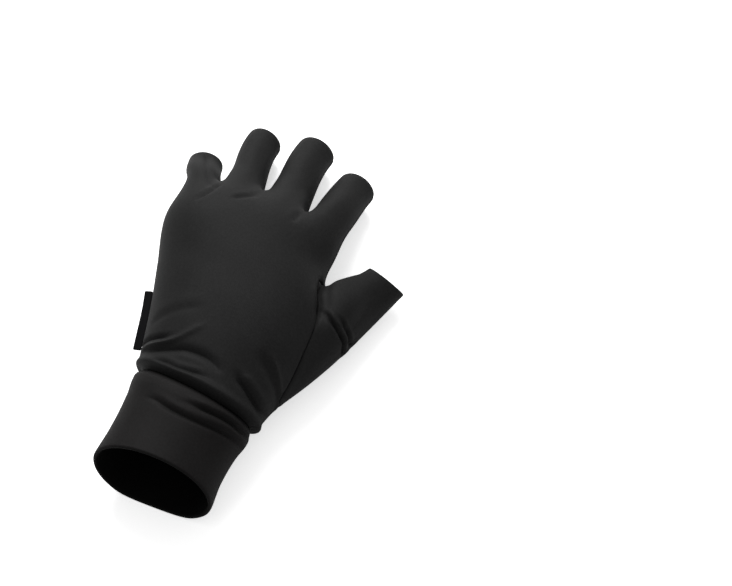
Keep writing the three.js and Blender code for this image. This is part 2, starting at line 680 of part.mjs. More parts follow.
// The label: a strip of tape folded double, sewn by its long edge along the little finger's side, so that the
// fold stands out. Its section is worked out at each place along the seam. The first and last points of the
// section are on the flat edge against the glove, and the others go out over the fold and back.
const LABEL_FACES = 12;
const FOLD_POINTS = 5;
function labelGeometry() {
  const side = tube.map((row) => ({ at: points[row[0]].y, point: points[row[0]], normal: normals[row[0]] }));
  const from = LABEL_START * HAND_LENGTH;
  const positions = [];
  for (let i = 0; i <= LABEL_FACES; i += 1) {
    const y = from + (LABEL_LENGTH * i) / LABEL_FACES;
    const k = side.findIndex((place) => place.at > y);
    const t = (y - side[k - 1].at) / (side[k].at - side[k - 1].at);
    const base = side[k - 1].point.clone().lerp(side[k].point, t);
    const out = side[k - 1].normal.clone().lerp(side[k].normal, t).setZ(0).normalize();
    const droop = LABEL_WAVE * LABEL_WIDTH * Math.sin((Math.PI * 2 * i) / LABEL_FACES);
    const sectionPoint = (reach, rise) => {
      const bend = droop * (reach / LABEL_WIDTH) ** 2;
      positions.push(...base.clone().addScaledVector(out, SEAM_GAP + reach).setZ(base.z + rise + bend));
    };
    sectionPoint(0, -LABEL_CLOTH / 2);
    for (let j = 0; j <= FOLD_POINTS; j += 1) {
      const angle = Math.PI * (j / FOLD_POINTS - 0.5);
      const reach = LABEL_WIDTH + (LABEL_CLOTH / 2) * (Math.cos(angle) - 1);
      sectionPoint(reach, (LABEL_CLOTH / 2) * Math.sin(angle));
    }
    sectionPoint(0, LABEL_CLOTH / 2);
  }
  const round = FOLD_POINTS + 3;
  const triangles = [];
  for (let i = 0; i < LABEL_FACES; i += 1) {
    for (let j = 0; j < round; j += 1) {
      const a = i * round + j;
      const b = i * round + ((j + 1) % round);
      triangles.push(a, b + round, a + round, a, b, b + round);
    }
  }
  for (let j = 1; j < round - 1; j += 1) {
    const last = LABEL_FACES * round;
    triangles.push(0, j + 1, j, last, last + j, last + j + 1);
  }
  const geometry = new THREE.BufferGeometry();
  geometry.setAttribute("position", new THREE.Float32BufferAttribute(positions, 3));
  geometry.setIndex(triangles);
  geometry.computeVertexNormals();
  return geometry;
}

const glove = new THREE.Group();
function addPiece(name, geometry, material) {
  const mesh = new THREE.Mesh(geometry, material);
  mesh.name = name;
  glove.add(mesh);
}
addPiece("back_panel", panelGeometry("back_panel", CLOTH), jersey);
addPiece("palm_panel", panelGeometry("palm_panel", CLOTH), jersey);
addPiece("thumb_panel", panelGeometry("thumb_panel", CLOTH), jersey);
addPiece("cuff", panelGeometry("cuff", CUFF_CLOTH), jersey);
addPiece("label_tab", labelGeometry(), tape);

export default glove;
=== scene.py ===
"""Half-finger fishing glove of stretch jersey, lying palm down and still holding the form of the hand.

The whole skin is one net of four-cornered faces in metres. A tube of rows and columns runs from the
cuff's opening to the finger roots, where its end splits into four finger rings. A block of its faces on
the thumb's side is left out, and the thumb's tube starts from the edge of that hole. Folds push the net in
and out, the floor flattens it, and it is cut along the seams into panels, each as thick as its cloth.
"""
from collections import namedtuple
from functools import lru_cache

import bpy
import numpy as np
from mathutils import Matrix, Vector


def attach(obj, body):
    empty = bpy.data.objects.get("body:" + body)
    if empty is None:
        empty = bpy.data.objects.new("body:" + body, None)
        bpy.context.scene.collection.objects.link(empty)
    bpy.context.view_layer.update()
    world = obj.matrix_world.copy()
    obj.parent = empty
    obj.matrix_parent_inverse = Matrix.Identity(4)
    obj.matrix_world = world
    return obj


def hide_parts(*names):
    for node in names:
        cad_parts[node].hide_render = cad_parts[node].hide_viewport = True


bl_info = {
    "name": "Fishing glove",
    "version": (1, 0, 0),
    "blender": (4, 5, 0),
    "location": "3D View > Sidebar > Glove",
    "description": "Builds a half-finger jersey glove, its seams, its folds and its side label",
    "category": "Add Mesh",
}

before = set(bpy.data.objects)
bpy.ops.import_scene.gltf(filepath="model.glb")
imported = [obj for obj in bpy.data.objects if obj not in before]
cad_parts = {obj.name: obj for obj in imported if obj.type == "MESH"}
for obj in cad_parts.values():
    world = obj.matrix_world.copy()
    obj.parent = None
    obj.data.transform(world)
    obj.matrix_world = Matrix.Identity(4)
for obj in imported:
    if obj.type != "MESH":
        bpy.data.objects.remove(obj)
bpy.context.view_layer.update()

MM = 0.001


def linear(code):
    """An sRGB hex code as linear red, green and blue: to the power 2.4 above the straight toe."""
    values = np.array([int(code[i:i + 2], 16) for i in (0, 2, 4)]) / 255
    return tuple(np.where(values > 0.04045, ((values + 0.055) / 1.055) ** 2.4, values / 12.92))


# Sizes and tables of the net

DETAIL = 4  # faces of this net for each face that the plain solids have
FINGERS = 4
BACK_FACES = 4 * DETAIL  # over the back of each finger, and under its front
SIDE_FACES = 4 * DETAIL  # down each side of a finger
FINGER_FACES = 5 * DETAIL  # along a finger
THUMB_FACES = 18 * DETAIL  # half as many again, for its sharp creases
CUFF_FACES = 17 * DETAIL
HEEL_FACES = 8 * DETAIL  # wrist seam to the thumb's hole
HOLE_FACES = 13 * DETAIL
ROOT_FACES = 7 * DETAIL  # thumb's hole to the finger roots
HOLE_HALF = 4 * DETAIL
HALF_ROUND = FINGERS * BACK_FACES + SIDE_FACES
ROUND = 2 * HALF_ROUND
CUFF, BACK, PALM, THUMB_TUBE, NONE = range(5)


def table(columns, *rows):
    """Named columns of numbers from rows."""
    return dict(zip(columns.split(), np.array(rows, float).T))


SECTIONS = table(
    "at little thumb back palm side arch sole",
    (-1.0, -0.288, 0.356, 0.92, -0.06, 0.42, 2.05, 2.1),
    (-0.7, -0.282, 0.338, 0.90, -0.09, 0.42, 2.10, 2.2),
    (-0.35, -0.290, 0.345, 0.89, -0.10, 0.42, 2.10, 2.2),
    (0.0, -0.312, 0.375, 0.90, -0.10, 0.42, 2.10, 2.2),
    (0.12, -0.352, 0.410, 0.94, -0.10, 0.42, 2.10, 2.2),
    (0.3, -0.420, 0.465, 0.99, -0.10, 0.41, 2.15, 2.3),
    (0.5, -0.510, 0.465, 1.00, -0.10, 0.40, 2.20, 2.3),
    (0.7, -0.600, 0.330, 0.98, -0.04, 0.41, 2.30, 2.3),
    (0.86, -0.606, 0.322, 0.90, 0.05, 0.42, 2.30, 2.2),
    (1.0, -0.628, 0.322, 0.78, 0.13, 0.43, 2.30, 2.2),
)
ROOT_LINE = table(
    "column turn at",
    (0, 0.0, 0.93),
    (2, 0.06, 0.94),
    (6, 0.167, 0.885),
    (10, 0.245, 0.94),
    (14, 0.326, 0.872),
    (18, 0.44, 0.93),
    (20, 0.5, 0.92),
)
HOLE_EDGES = table(
    "along back palm",
    (0.0, 0.520, 0.61),
    (0.15, 0.486, 0.65),
    (0.35, 0.452, 0.69),
    (0.6, 0.438, 0.69),
    (0.8, 0.436, 0.64),
    (1.0, 0.455, 0.56),
)
HOLE_START, HOLE_END = 0.15, 0.715
WRIST_SLANT = 0.095
WRIST_HIGH = 0.86
WEB_DIP = 0.26
LIP_SLANT = 0.08
WEB_BOW = 0.03

FINGER_ENDS = table(
    "across reach lift width depth root tip dip",
    (-0.615, 0.29, 0.19, 0.87, 0.93, -24, -12, 12),
    (-0.382, 0.84, 0.19, 0.90, 0.98, -7, 3, 14),
    (-0.09, 0.93, 0.20, 1.00, 1.03, -4, 6, 14),
    (0.212, 0.63, 0.20, 0.98, 1.03, -1, 7, 14),
)
THUMB_END = {"along": 0.389, "lift": 0.28, "heading": 18, "climb": 20, "roll": 32}

FOLD_WIDTH = 4.6 * MM
CREASE_WIDTH = 0.7 * MM
PATH_STEPS = 8  # of a fold's path between two of its places
SEAM_PULL, SEAM_WIDTH = 0.45 * MM, 0.9 * MM
FLOOR_ROUND = 3 * MM  # height below which the skin starts to flatten on the floor
FOLDS = [
    # A fold's crease also sets how much painted shade lies in it.
    # depth, width, ridge beside it, crease in it, and its places: turn round the tube, up from the wrist
    (0.24, 0.36, 0.6, 0.6, ((0.12, 0.085), (0.148, 0.067), (0.179, 0.05), (0.209, 0.027), (0.24, 0.024),
        (0.263, 0.029), (0.29, 0.02))),
    (0.62, 0.66, 0.0, 0.3, ((0.02, 0.245), (0.071, 0.221), (0.124, 0.207), (0.157, 0.215), (0.185, 0.232),
        (0.212, 0.25), (0.256, 0.238), (0.292, 0.173), (0.31, 0.12))),
    (-0.42, 0.3, 0.0, 0.4, ((0.02, 0.262), (0.066, 0.258), (0.127, 0.27), (0.162, 0.3), (0.186, 0.36),
        (0.202, 0.44), (0.219, 0.537), (0.23, 0.62))),
    (0.5, 0.36, 0.0, 0.6, ((0.01, 0.35), (0.03, 0.347), (0.059, 0.344), (0.09, 0.345), (0.118, 0.349),
        (0.153, 0.363), (0.176, 0.418))),
    (0.16, 0.7, 0.4, 0.2, ((0.07, 0.53), (0.098, 0.557), (0.14, 0.641), (0.189, 0.72), (0.22, 0.76))),
    (0.34, 0.42, 0.5, 0.5, ((0.15, -0.37), (0.193, -0.387), (0.244, -0.44), (0.3, -0.456), (0.361, -0.422),
        (0.425, -0.371), (0.502, -0.317), (0.56, -0.26))),
    (0.4, 0.4, 0.6, 0.6, ((0.25, -0.31), (0.292, -0.305), (0.326, -0.299), (0.393, -0.264), (0.439, -0.248),
        (0.525, -0.146), (0.56, -0.09))),
    (0.62, 0.55, 0.5, 0.6, ((0.33, 0.27), (0.346, 0.182), (0.377, 0.133), (0.41, 0.097), (0.462, 0.086),
        (0.535, 0.181))),
    (0.5, 0.8, 0.0, 0.2, ((0.35, 0.62), (0.366, 0.502), (0.404, 0.426), (0.464, 0.369), (0.513, 0.317),
        (0.54, 0.26))),
    (-0.35, 0.3, 0.0, 0.3, ((0.365, 0.65), (0.384, 0.559), (0.413, 0.492), (0.448, 0.435), (0.525, 0.322),
        (0.55, 0.27))),
    (0.3, 0.4, 0.2, 0.5, ((0.145, 2.0), (0.158, 2.097), (0.167, 2.194), (0.174, 2.308), (0.178, 2.36))),
    (0.3, 0.4, 0.2, 0.5, ((0.215, 2.15), (0.226, 2.225), (0.236, 2.313), (0.241, 2.40), (0.243, 2.45))),
    (0.3, 0.4, 0.2, 0.5, ((0.327, 2.15), (0.325, 2.22), (0.323, 2.29), (0.322, 2.349))),
    (0.3, 0.45, 0.4, 0.3, ((0.118, 3.0), (0.126, 2.887), (0.133, 2.676), (0.154, 2.339), (0.16, 2.25))),
]
THUMB_FOLDS = [
    (0.6, 0.2, 0.5, 1.0, ((0.15, 0.0), (0.167, 0.071), (0.182, 0.197), (0.196, 0.299), (0.212, 0.439),
        (0.248, 0.802), (0.33, 1.453), (0.364, 1.697), (0.43, 1.93), (0.47, 2.05), (0.5, 1.9),
        (0.53, 1.75))),
    (0.4, 0.2, 0.5, 0.8, ((0.18, 0.36), (0.192, 0.472), (0.206, 0.612), (0.225, 0.793), (0.252, 1.045),
        (0.303, 1.445), (0.34, 1.738), (0.397, 2.163), (0.43, 2.4), (0.46, 2.34), (0.49, 2.25))),
    (0.9, 1.0, 0.0, 0.8, ((0.22, 0.03), (0.185, 0.03), (0.167, 0.03), (0.144, 0.03), (0.119, 0.03),
        (0.07, 0.03), (0.02, 0.03))),
]
# Profile of a fold, across its path
RIDGE_PLACE, VALLEY_WIDTH = 1.6, 0.8  # of its width
SHADE_WIDTH = 0.5  # of a crease's width, and its fold's own share more
FOLD_FADE = 0.3  # of its path, at each end
NEAR_POINTS, NEAR_WEIGHT = 4, 0.2 * MM  # points that a fold's place is the mean of, and their evening out

# Bell curves across a seam: height, then place and width in the width of the whole
WRIST_BELLS = ((0.45, 0.85, 0.5), (0.2, -1.8, 1.0), (-1, 0, 0.45))
SEAM_BELLS = ((0.3, 2.4, 1.2), (-1, 0, 1))

# Painted shade: how dark creases, seams and free rims are painted, from 0 to 1
WRIST_SHADE, WRIST_SHADE_WIDTH = 0.8, 0.28  # the width in fold widths
THUMB_SHADE, RIM_SHADE = 0.4, 0.8

# Webs between the fingers: width of the palm's, start of the hand's length, share on the palm's side
WEB_WIDTH, WEB_START, WEB_UNDER = 0.07, 0.74, 0.5

# Distances round, of the palm's width: round the hand, round the thumb, and round the thumb's cloth
GIRTH, THUMB_GIRTH, THUMB_CLOTH = 1.8, 0.8, 2.2

# Fingers
HOLE_CROWD, FINGER_CROWD = 1.15, 1.25  # powers that crowd rows at the hole's start and at the roots
ROOT_DEPTH = 0.26  # half the height of a finger's root, of the hand's depth
INNER_SIDE, INNER_TURN = -0.5, -0.35  # of a middle finger: how far its sides count as outer ones
SETTLED = 0.27  # share of a finger after which a side that faces another finger is the oval
EARLY_WIDTH, EARLY_FORM = -0.2, -0.1  # where its width and its outline start to change, before its root

# Thumb
HOLE_TURN, HOLE_SHARE = 0.52, 0.2  # strands start over the hand's skin, towards the middle of the hole
THUMB_AHEAD, THUMB_OUTWARD = 0.7, 0.45  # and turn ahead and outwards by these
THUMB_NEAR = 2.5  # thumb widths, under which a strand's first part is weaker
THUMB_LEAVING, THUMB_ARRIVING = 1.2, 0.35
CROTCH_PULL, CROTCH_POWER = 0.8, 4  # how straight the strands at the crotch run

# Softening of the joins: rounds, reach of the palm's width, and most that a point moves
SOFT_ROUNDS, SOFT_REACH, SOFT_MOST = 3 * DETAIL ** 2, 0.11, 0.6

# Edges and label
RIM_ROLL = 0.45  # how far a free edge is rolled out, of its thickness
SEAM_TONGUE = 0.66  # of the seam's gap: rounded, the middle of a sewn edge then reaches the seam's line
LABEL_START = -0.31  # of the hand's length
LABEL_WAVE = 0.08  # of the label's width
LABEL_FACES, LABEL_FOLD, LABEL_FLAT = 48, 10, 6  # along it, round its fold, and across it

# Cloth, in millimetres, and how dark its painted shade is in creases and on the inside
WALE, COURSE, KNIT_DEPTH = 0.5, 0.45, 0.04
TAPE_RIB, TAPE_DEPTH = 0.6, 0.1
CREASE_SHADE_TONE, INSIDE_SHADE_TONE = 0.3, 0.35

# Studio
FLOOR_HALF, FLOOR_GLOW = 3, 0.57
STUDIO_LIGHT = 0.6
CAMERA_AZIMUTH, CAMERA_ELEVATION, CAMERA_DISTANCE = 23, 55, 1.2
CAMERA_TARGET = (0.05, 0.05, 0)
CAMERA_LENS, CAMERA_SENSOR = 111.35, 36


# Curves and sections

def lerp(a, b, share):
    """The point a share of the way from a to b."""
    return a + (b - a) * share


def ease(value, low, high):
    """Smooth step from 0 at low to 1 at high: t squared times three minus two t."""
    t = np.clip((value - low) / (high - low), 0, 1)
    return t * t * (3 - 2 * t)


def unit(vectors):
    """Vectors divided by their own lengths."""
    return vectors / np.maximum(np.linalg.norm(vectors, axis=-1, keepdims=True), 1e-12)


def hump(away, width):
    """A bell curve: e to the minus square of away over width."""
    return np.exp(-(away / width) ** 2)


def along(rows, key, column, place):
    """A smooth curve through a column of a table: a cubic between rows, with the slope at each row that of
    the line from the row before to the row after."""
    keys, values = rows[key], rows[column]
    place = np.asarray(place, float)
    last = len(keys) - 1
    i = np.clip(np.searchsorted(keys, place, side="left") - 1, 0, last - 1)
    before, after = np.maximum(np.arange(last + 1) - 1, 0), np.minimum(np.arange(last + 1) + 1, last)
    slope = (values[after] - values[before]) / (keys[after] - keys[before])
    span = keys[i + 1] - keys[i]
    t = np.clip((place - keys[i]) / span, 0, 1)
    bend = (t - 1) * t * span * ((t - 1) * slope[i] + t * slope[i + 1])
    return lerp(values[i], values[i + 1], t * t * (3 - 2 * t)) + bend


def signed_power(value, power):
    """The size of a value to a power, with the value's own sign."""
    return np.sign(value) * np.abs(value) ** power


def lengthwise(size, at):
    """Place along the tube of an at value: -1 is the opening, 0 the wrist seam, 1 the roots."""
    return -size.heel_length + at * np.where(np.asarray(at) < 0, size.cuff_length, size.hand_length)


def at_of(size, y):
    """The at value of a place along the tube."""
    start = y + size.heel_length
    return start / np.where(start < 0, size.cuff_length, size.hand_length)


def section(size, at):
    """The tube's sides, heights and powers at a place along it."""
    width, depth = size.palm_width, size.hand_depth
    scales = {"little": width, "thumb": width, "back": depth, "palm": depth, "side": depth,
              "arch": 1, "sole": 1}
    return {name: along(SECTIONS, "at", name, at) * scale for name, scale in scales.items()}


def tube_across(size, turn, at):
    """Sideways place of a turn: the middle plus half the width times a power of the turn's cosine."""
    part = section(size, at)
    angle = np.pi - 2 * np.pi * turn
    square = np.where(np.sin(angle) > 0, part["arch"], part["sole"])
    middle, half = (part["little"] + part["thumb"]) / 2, (part["thumb"] - part["little"]) / 2
    return middle + half * signed_power(np.cos(angle), 2 / square)


def tube_point(size, turn, y):
    """A point of the tube: a squared-off ellipse with its own upper and lower halves, let down at the
    webs."""
    at = at_of(size, y)
    part = section(size, at)
    rise = np.sin(np.pi - 2 * np.pi * turn)
    x = tube_across(size, turn, at)
    reach = np.where(rise > 0, part["back"] - part["side"], part["side"] - part["palm"])
    square = np.where(rise > 0, part["arch"], part["sole"])
    relief = np.zeros_like(x)
    for root in ROOT_LINE["turn"][2:5]:
        away = x - tube_across(size, root, 1.0)
        dip = hump(away, WEB_WIDTH * size.palm_width) * ease(at, WEB_START, 1) ** 2
        relief -= WEB_DIP * size.hand_depth * dip
    relief = relief * np.where(rise > 0, rise, WEB_UNDER * rise)
    z = part["side"] + reach * signed_power(rise, 2 / square) + relief
    return np.stack(np.broadcast_arrays(x, y, z), -1)


def wrist_line(size, turn):
    """Place along the tube of the wrist seam: a slanted ring, so a cosine of the turn."""
    round_place = 2 * np.pi * (turn - WRIST_HIGH)
    return -size.heel_length + WRIST_SLANT * size.hand_length * np.cos(round_place) / 2


def lip_line(size, turn):
    """Place along the tube of the cuff's opening, slanted by a sine of the turn."""
    return lengthwise(size, -1.0) - LIP_SLANT * size.cuff_length * (1 - np.sin(2 * np.pi * turn)) / 2


def root_line(size, turn):
    """Place along the tube of the finger roots, the same on the back and the palm."""
    return lengthwise(size, along(ROOT_LINE, "turn", "at", np.where(turn > 0.5, 1 - turn, turn)))


def even_turn(column, share):
    """Columns even round the wrist, and gathered to the finger roots at the far end."""
    folded = np.minimum(column, ROUND - column)
    turn = lerp(folded / ROUND, along(ROOT_LINE, "column", "turn", folded / DETAIL), share)
    return np.where(column > HALF_ROUND, 1 - turn, turn)


def tube_turn(column, share):
    """The same, with the two columns at the edges of the thumb's hole moved onto those edges."""
    turn = even_turn(column, share)
    back_edge = even_turn(HALF_ROUND - HOLE_HALF, share)
    palm_edge = even_turn(HALF_ROUND + HOLE_HALF, share)
    place = np.clip((share - HOLE_START) / (HOLE_END - HOLE_START), 0, 1)
    near = ease(share, 0, HOLE_START) * (1 - ease(share, HOLE_END, 1))
    back = lerp(back_edge, along(HOLE_EDGES, "along", "back", place), near)
    palm = lerp(palm_edge, along(HOLE_EDGES, "along", "palm", place), near)
    between = lerp(back, palm, (turn - back_edge) / (palm_edge - back_edge))
    over = 1 - ((1 - turn) / (1 - palm_edge)) * (1 - palm)
    beyond = np.where(turn >= palm_edge, over, between)
    return np.where(turn <= back_edge, turn / back_edge * back, beyond)


def directed(heading, climb):
    """The direction of a heading from +Y to +X and a climb, in degrees."""
    h, c = np.radians(heading), np.radians(climb)
    return np.stack(np.broadcast_arrays(np.sin(h) * np.cos(c), np.cos(h) * np.cos(c), np.sin(c)), -1)


def hermite(start, leaving, end, arriving, t):
    """The cubic that leaves start and arrives at end with the given velocities."""
    return (start * (1 + 2 * t) * (1 - t) ** 2 + leaving * t * (1 - t) ** 2
            + end * t * t * (3 - 2 * t) + arriving * t * t * (t - 1))


# The net

def corners(grid):
    """The four corners of each cell between neighbouring rows and columns."""
    return np.stack([grid[:-1, :-1], grid[:-1, 1:], grid[1:, 1:], grid[1:, :-1]], 2)


class Net:
    """Points, the place of each for the folds, and faces with their panel and place on the cloth."""

    def __init__(self):
        self.parts, self.count = [], 0
        self.faces, self.panels, self.cloth = [], [], []

    def add_points(self, points, turn, up, seam, thumb=False):
        """Adds an array of points and gives their numbers in the same shape."""
        shape = points.shape[:-1]
        columns = [np.broadcast_to(value, shape).reshape(-1) for value in (turn, up, seam, float(thumb))]
        self.parts.append(np.column_stack([points.reshape(-1, 3), *columns]))
        numbers = self.count + np.arange(np.prod(shape)).reshape(shape)
        self.count += numbers.size
        return numbers

    def add_grid(self, numbers, cloth, panel):
        """Faces between neighbouring rows and columns of numbers, each corner with its place on the
        cloth."""
        quads = corners(numbers)
        self.faces.append(quads.reshape(-1, 4))
        self.cloth.append(corners(cloth).reshape(-1, 4, 2))
        self.panels.append(np.broadcast_to(panel, quads.shape[:2]).reshape(-1))

    def close(self):
        """Joins all parts and leaves out the faces that no panel has."""
        values = np.concatenate(self.parts)
        self.points, (self.turn, self.up, self.seam, self.thumb) = values[:, :3], values[:, 3:].T
        faces, panels, cloth = (np.concatenate(v) for v in (self.faces, self.panels, self.cloth))
        kept = panels != NONE
        self.faces, self.panels, self.cloth = faces[kept], panels[kept], cloth[kept]

    def normals(self):
        """Of each point: the sum of its faces' normals, the cross products of their two diagonals."""
        a, b, c, d = (self.points[self.faces[:, k]] for k in range(4))
        face_normals = np.cross(c - a, d - b)
        sums = np.zeros_like(self.points)
        for k in range(4):
            np.add.at(sums, self.faces[:, k], face_normals)
        return unit(sums)


def add_tube(net, size):
    """The tube from the cuff's opening to the finger roots, as a grid of numbers with its first column again
    at the end."""
    column = np.arange(ROUND)[None, :]
    cuff_share = (np.arange(CUFF_FACES) / CUFF_FACES)[:, None]
    hand_share = np.concatenate([
        HOLE_START * np.arange(HEEL_FACES) / HEEL_FACES,
        lerp(HOLE_START, HOLE_END, (np.arange(HOLE_FACES) / HOLE_FACES) ** HOLE_CROWD),
        lerp(HOLE_END, 1, np.arange(ROOT_FACES + 1) / ROOT_FACES),
    ])[:, None]
    cuff_turn = np.broadcast_to(column / ROUND, (CUFF_FACES, ROUND))
    turn = np.concatenate([cuff_turn, tube_turn(column, hand_share)])
    cuff_y = lerp(lip_line(size, cuff_turn), wrist_line(size, cuff_turn), cuff_share)
    hand_turn = turn[CUFF_FACES:]
    hand_y = lerp(wrist_line(size, hand_turn), root_line(size, hand_turn), hand_share)
    y = np.concatenate([cuff_y, hand_y])
    points = tube_point(size, turn, y)
    numbers = net.add_points(points, turn, y + size.heel_length, y - wrist_line(size, turn))
    tube = np.concatenate([numbers, numbers[:, :1]], 1)
    wound = np.concatenate([turn, turn[:, :1] + 1], 1) * GIRTH * size.palm_width
    cloth = np.stack([wound, np.concatenate([y, y[:, :1]], 1)], -1)
    row, face = np.arange(len(tube) - 1)[:, None], column
    hole_row, crotch_row = CUFF_FACES + HEEL_FACES, CUFF_FACES + HEEL_FACES + HOLE_FACES
    in_hole = (np.abs(face + 0.5 - HALF_ROUND) < HOLE_HALF) & (row >= hole_row) & (row < crotch_row)
    side = np.where(face < HALF_ROUND, BACK, PALM)
    net.add_grid(tube, cloth, np.where(row < CUFF_FACES, CUFF, np.where(in_hole, NONE, side)))
    return tube


def add_webs(net, size, tube):
    """Short lines from the back down to the palm between neighbouring fingers, bowed to the fingertips."""
    points, turn = net.parts[0][:, :3], net.parts[0][:, 3]
    share = (np.arange(1, SIDE_FACES) / SIDE_FACES)[:, None]
    webs = []
    for web in range(1, FINGERS):
        column = SIDE_FACES // 2 + web * BACK_FACES
        top, bottom = tube[-1, column], tube[-1, ROUND - column]
        line = lerp(points[top], points[bottom], share)
        line[:, 1] += WEB_BOW * size.hand_depth * (4 * share * (1 - share))[:, 0]
        y = line[:, 1]
        inner = net.add_points(line, turn[top], y + size.heel_length, y - wrist_line(size, turn[top]))
        webs.append(np.concatenate([[top], inner, [bottom]]))
    return webs


def finger_root(tube, webs, finger):
    """A finger's first ring, from the middle of its little-finger side over the back and round."""
    last, half = tube[-1, :ROUND], SIDE_FACES // 2
    first = half + finger * BACK_FACES
    back_arc = last[first:first + BACK_FACES + 1]
    palm_arc = last[ROUND - first - BACK_FACES:ROUND - first + 1]
    outer = np.concatenate([last[ROUND - half:], last[:half + 1]])[::-1]
    little_side = outer if finger == 0 else webs[finger - 1]
    thumb_side = last[HALF_ROUND - half:HALF_ROUND + half + 1] if finger == FINGERS - 1 else webs[finger]
    return np.concatenate([little_side[:half + 1][::-1], back_arc[1:], thumb_side[1:], palm_arc[1:],
                           little_side[half:SIDE_FACES][::-1]])


def add_finger(net, size, tube, webs, finger):
    """A finger: rings along a cubic from the middle of its root to its end. Each ring goes over from the
    root's own outline to an oval."""
    end_row = {name: column[finger] for name, column in FINGER_ENDS.items()}
    ring = finger_root(tube, webs, finger)
    values = np.concatenate(net.parts)
    points, turns = values[:, :3], values[:, 3]
    rim = ring[:-1]
    root = points[rim].mean(0)
    end = np.array([end_row["across"] * size.palm_width,
                    lengthwise(size, 1.0) + end_row["reach"] * size.stall_length,
                    end_row["lift"] * size.hand_depth])
    length = np.linalg.norm(end - root)
    share = ((np.arange(1, FINGER_FACES + 1) / FINGER_FACES) ** FINGER_CROWD)[:, None]
    centre = hermite(root, directed(end_row["root"], -end_row["dip"]) * length, end,
                     directed(end_row["tip"], -end_row["dip"]) * length, share)
    ahead = directed(lerp(end_row["root"], end_row["tip"], share[:, 0]), -end_row["dip"])
    across = unit(np.stack([ahead[:, 1], -ahead[:, 0], np.zeros(len(ahead))], -1))
    over = np.cross(across, ahead)
    half_depth = lerp(ROOT_DEPTH * size.hand_depth, end_row["depth"] * size.stall_depth / 2, share)
    first = SIDE_FACES // 2
    root_width = np.linalg.norm(points[rim[first]] - points[rim[first + BACK_FACES]])
    angle = (np.pi - 2 * np.pi * np.arange(len(rim)) / len(rim))[None, :]
    inner_sides = INNER_SIDE + INNER_TURN * np.cos(angle)
    outer = {0: -np.cos(angle), FINGERS - 1: np.cos(angle)}.get(finger, inner_sides)
    settled = lerp(SETTLED, 1, np.clip(0.5 + outer, 0, 1))
    widened = ease(share, EARLY_WIDTH, settled)
    half_width = lerp(root_width / 2, end_row["width"] * size.stall_width / 2, widened)
    oval = (centre[:, None] + across[:, None] * (half_width * np.cos(angle))[..., None]
            + over[:, None] * (half_depth * np.sin(angle))[..., None])
    carried = points[rim][None] + (centre - root)[:, None]
    skin_points = lerp(carried, oval, ease(share, EARLY_FORM, settled)[..., None])
    turn, y = turns[rim][None, :], oval[..., 1]
    numbers = net.add_points(skin_points, turn, y + size.heel_length, y - wrist_line(size, turn))
    grid = np.concatenate([rim[None], numbers])
    grid = np.concatenate([grid, grid[:, :1]], 1)
    girth = np.pi * (size.stall_width + size.stall_depth) / 2
    wound = np.arange(len(ring))[None, :] / len(rim) * girth
    distance = np.concatenate([[0], share[:, 0]])[:, None] * length + lengthwise(size, 1.0)
    cloth = np.stack(np.broadcast_arrays(wound, distance), -1)
    side = np.where(np.arange(len(rim)) < len(rim) // 2, BACK, PALM)[None, :]
    net.add_grid(grid, cloth, side)


def hole_ring(tube):
    """The edge of the thumb's hole, from the middle of the crotch down the back edge and round."""
    hole_row, crotch_row = CUFF_FACES + HEEL_FACES, CUFF_FACES + HEEL_FACES + HOLE_FACES
    low, high = HALF_ROUND - HOLE_HALF, HALF_ROUND + HOLE_HALF
    return np.concatenate([
        tube[crotch_row, HALF_ROUND:low:-1],
        tube[crotch_row:hole_row:-1, low],
        tube[hole_row, low:high],
        tube[hole_row:crotch_row, high],
        tube[crotch_row, high:HALF_ROUND:-1],
    ])


